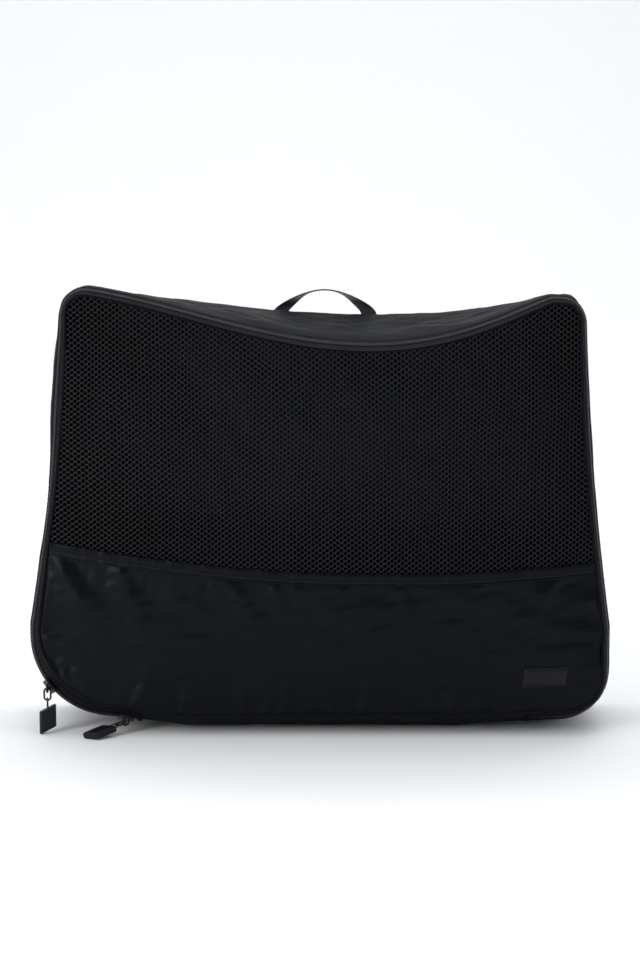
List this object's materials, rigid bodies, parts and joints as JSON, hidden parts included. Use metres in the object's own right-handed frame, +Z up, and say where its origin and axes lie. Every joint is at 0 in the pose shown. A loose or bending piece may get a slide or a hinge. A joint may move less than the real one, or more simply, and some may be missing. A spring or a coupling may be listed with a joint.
{
  "type": "packing cube",
  "caption": "Soft zipped packing case with a mesh window in its lid, a grab handle of webbing on its back seam and sliders with pull tabs.",
  "frame": {"origin": "under the middle of the case, on the surface that it stands on", "axes": "+X along the width, -Y out of the lid, +Z up as the case stands on its long edge"},
  "size_m": [0.452, 0.1336, 0.3433],
  "materials": {
    "nylon": "smooth coated nylon, soft sheen",
    "binding": "ribbed seam binding",
    "mesh": "open knitted mesh with hexagonal holes",
    "zip_tape": "woven zip tape",
    "zip_coil": "satin nylon coil",
    "slider_metal": "satin black",
    "pull_tab": "matt moulded rubber",
    "patch": "matt moulded, with a raised frame",
    "webbing": "ribbed woven webbing"
  },
  "bodies": {
    "case": {"back_panel": "nylon", "gusset_top": "nylon", "gusset_left": "nylon", "gusset_right": "nylon", "gusset_bottom": "nylon", "rear_binding": "binding", "case_zip_tape": "zip_tape", "case_zip_coil": "zip_coil", "zip_stop_left": "zip_tape", "zip_stop_right": "zip_tape"},
    "lid": {"lid_mesh": "mesh", "lid_panel": "nylon", "lid_hem": "nylon", "lid_binding": "binding", "lid_zip_tape": "zip_tape", "lid_zip_coil": "zip_coil", "lid_flap": "nylon", "patch": "patch"},
    "slider_a": {"slider_a_body": "slider_metal"},
    "ring_a": {"slider_a_ring": "slider_metal"},
    "tab_a": {"slider_a_link": "slider_metal", "slider_a_tab": "pull_tab"},
    "slider_b": {"slider_b_body": "slider_metal"},
    "ring_b": {"slider_b_ring": "slider_metal"},
    "tab_b": {"slider_b_link": "slider_metal", "slider_b_tab": "pull_tab"},
    "handle": {"handle_strap": "webbing"}
  },
  "joints": [
    {"name": "lid_hinge", "type": "hinge", "parent": "case", "child": "lid", "pos_m": [0, -0.046, -0.0001], "axis": [1, 0, 0], "range_deg": [0, 80]},
    {"name": "slider_a_travel", "type": "hinge", "parent": "case", "child": "slider_a", "pos_m": [-0.16, -0.046, 0.074], "axis": [0, 1, 0], "range_deg": [-12, 24]},
    {"name": "ring_a_swing", "type": "hinge", "parent": "slider_a", "child": "ring_a", "pos_m": [-0.20952, -0.04882, 0.03461], "axis": [1, 0, 0], "range_deg": [-88, 5]},
    {"name": "tab_a_swing", "type": "hinge", "parent": "ring_a", "child": "tab_a", "pos_m": [-0.20952, -0.04882, 0.02561], "axis": [1, 0, 0], "range_deg": [-40, 40]},
    {"name": "slider_b_travel", "type": "slide", "parent": "lid", "child": "slider_b", "axis": [-0.9899, 0, 0.1414], "range_m": [0, 0.005]},
    {"name": "ring_b_swing", "type": "hinge", "parent": "slider_b", "child": "ring_b", "pos_m": [-0.14956, -0.04849, 0.00872], "axis": [0.6293, -0.7771, 0], "range_deg": [-20, 0]},
    {"name": "tab_b_swing", "type": "hinge", "parent": "ring_b", "child": "tab_b", "pos_m": [-0.1564, -0.05403, 0.00685], "axis": [0.6293, -0.7771, 0], "range_deg": [-25, 0]},
    {"name": "handle_swing", "type": "hinge", "parent": "case", "child": "handle", "pos_m": [0.0035, 0.0554, 0.3245], "axis": [1, 0, 0], "range_deg": [-90, 30]}
  ]
}
